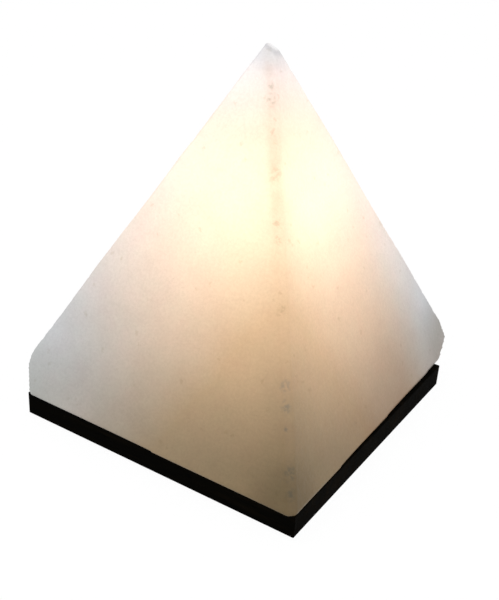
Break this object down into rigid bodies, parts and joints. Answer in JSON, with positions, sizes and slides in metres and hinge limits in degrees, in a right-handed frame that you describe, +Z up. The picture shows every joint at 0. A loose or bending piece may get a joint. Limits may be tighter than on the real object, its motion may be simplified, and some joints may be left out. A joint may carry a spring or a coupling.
{
  "type": "salt crystal lamp",
  "caption": "Table lamp: a pale salt pyramid lit from inside by a small bulb, on a square black-stained wood base; the bulb's holder clips into the salt from below.",
  "frame": {"origin": "the middle of the ground that the lamp covers, at the undersides of the feet", "axes": "+Z is up; +Y is the back, where the cord channel opens; -Y and +X are the two sides that the picture shows"},
  "size_m": [0.1548, 0.1714, 0.1792],
  "materials": {
    "salt": "milky, translucent rock salt, lit from inside",
    "stained_wood": "black-stained, satin",
    "plug_plastic": "matte",
    "zinced_steel": "zinc-plated",
    "black_rubber": "matte",
    "holder_plastic": "matte, heat-proof",
    "steatite": "unglazed",
    "contact_brass": "bright",
    "spring_steel": "bright, spring-tempered",
    "gland_plastic": "matte",
    "clear_glass": "clear",
    "cap_metal": "bright",
    "black_glass": "glossy",
    "solder": "dull",
    "bulb_wire": "drawn wire",
    "tungsten": "glowing"
  },
  "bodies": {
    "lamp_body": {"salt_pyramid": "salt", "wood_base": "stained_wood", "wall_plugs": "plug_plastic", "base_screws": "zinced_steel", "base_washers": "zinced_steel", "foot_front_left": "black_rubber", "foot_front_right": "black_rubber", "foot_back_left": "black_rubber", "foot_back_right": "black_rubber"},
    "lamp_holder": {"holder_shell": "holder_plastic", "holder_cap": "holder_plastic", "contact_carrier": "steatite", "screw_shell": "contact_brass", "centre_contact": "contact_brass", "side_terminal": "contact_brass", "centre_terminal": "contact_brass", "terminal_screws": "zinced_steel", "contact_rivets": "contact_brass", "entry_nipple": "zinced_steel", "nipple_nuts": "zinced_steel", "cord_gland": "gland_plastic", "clip_bracket": "spring_steel"},
    "left_clip": {"clip_arm_left": "spring_steel"},
    "right_clip": {"clip_arm_right": "spring_steel"},
    "bulb_centre": {"bulb_tip": "solder"},
    "bulb": {"bulb_glass": "clear_glass", "bulb_cap": "cap_metal", "bulb_insulator": "black_glass", "bulb_stem": "clear_glass", "lead_wires": "bulb_wire", "filament": "tungsten", "filament_supports": "bulb_wire"}
  },
  "joints": [
    {"name": "holder_slide", "type": "slide", "parent": "lamp_body", "child": "lamp_holder", "axis": [0, 0, -1], "range_m": [0, 0.11]},
    {"name": "clip_pinch_left", "type": "hinge", "parent": "lamp_holder", "child": "left_clip", "pos_m": [-0.01402, -0.00805, 0.0222], "axis": [0, 1, 0], "range_deg": [0, 4.5], "stiffness_Nm_per_rad": 2.4},
    {"name": "clip_pinch_right", "type": "hinge", "parent": "lamp_holder", "child": "right_clip", "pos_m": [0.01798, -0.00805, 0.0222], "axis": [0, -1, 0], "range_deg": [0, 4.5], "stiffness_Nm_per_rad": 2.4},
    {"name": "bulb_advance", "type": "slide", "parent": "lamp_holder", "child": "bulb_centre", "axis": [0, 0, 1], "range_m": [0, 0.0085]},
    {"name": "bulb_turn", "type": "hinge", "parent": "bulb_centre", "child": "bulb", "pos_m": [0.00198, -0.00805, 0.0625], "axis": [0, 0, 1], "range_deg": [0, 1080]}
  ],
  "couplings": [
    {"joint": "bulb_advance", "follows": "bulb_turn", "m_per_rad": 0.00044914}
  ]
}
